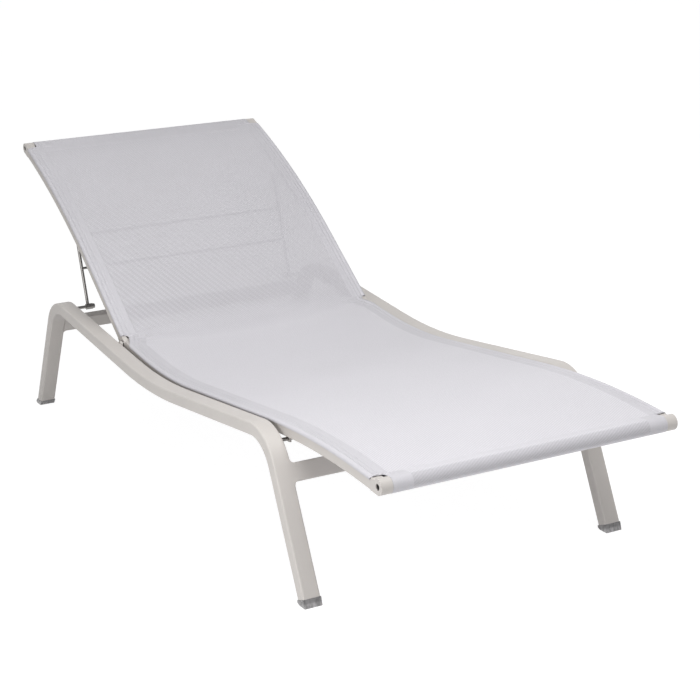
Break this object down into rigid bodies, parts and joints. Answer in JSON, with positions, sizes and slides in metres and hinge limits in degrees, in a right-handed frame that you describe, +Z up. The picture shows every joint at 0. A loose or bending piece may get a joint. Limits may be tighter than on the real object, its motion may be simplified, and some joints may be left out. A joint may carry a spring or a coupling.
{
  "type": "sun lounger",
  "caption": "Low reclining sun lounger: bent tube side frames on splayed legs carry a taut cloth sling whose curved backrest is held up by a folding prop and notched racks.",
  "frame": {"origin": "middle of the bounding box at floor level, backrest raised as pictured", "axes": "+X from the head end to the foot end, +Y across to the far side, +Z up"},
  "size_m": [1.898, 0.759, 0.6886],
  "materials": {
    "paint": "fine matte powder coat, light clay grey",
    "cloth": "fine coated twill mesh, white with a cool tint",
    "steel": "bright stainless steel",
    "glide": "smoky translucent plastic"
  },
  "bodies": {
    "frame": {"side_frame_near": "paint", "side_frame_far": "paint", "crossbar_front": "paint", "crossbar_rear": "paint", "tie_rod": "steel", "tie_tabs": "paint", "hinge_tube": "steel", "hinge_pins": "steel", "hinge_bosses": "paint", "hinge_washers": "steel", "glide_front_near": "glide", "glide_front_far": "glide", "glide_rear_near": "glide", "glide_rear_far": "glide", "seat_rail_near": "paint", "seat_rail_far": "paint", "seat_knuckle_near": "paint", "seat_knuckle_far": "paint", "seat_corner_near": "paint", "seat_corner_far": "paint", "foot_tube": "paint", "foot_bolts": "steel", "seat_keder_near": "cloth", "seat_keder_far": "cloth", "prop_stubs": "steel", "stub_caps": "steel", "seat_cloth": "cloth"},
    "backrest": {"back_rail_near": "paint", "back_rail_far": "paint", "back_knuckle_near": "paint", "back_knuckle_far": "paint", "back_corner_near": "paint", "back_corner_far": "paint", "head_tube": "paint", "head_bolts": "steel", "back_keder_near": "cloth", "back_keder_far": "cloth", "rack_near": "paint", "rack_far": "paint", "rack_rivets": "steel", "back_cloth": "cloth"},
    "prop": {"prop_leg_near": "steel", "prop_leg_far": "steel", "prop_brace_low": "steel", "prop_brace_high": "steel", "prop_sleeves": "steel"}
  },
  "joints": [
    {"name": "back_hinge", "type": "hinge", "parent": "frame", "child": "backrest", "pos_m": [-0.30786, 0, 0.287], "axis": [0, 1, 0], "range_deg": [-30, 10]},
    {"name": "prop_hinge", "type": "hinge", "parent": "frame", "child": "prop", "pos_m": [-0.65726, 0, 0.2979], "axis": [0, 1, 0], "range_deg": [-81, 27.5]}
  ],
  "couplings": [
    {"joint": "prop_hinge", "follows": "back_hinge", "ratio": 2.66}
  ]
}
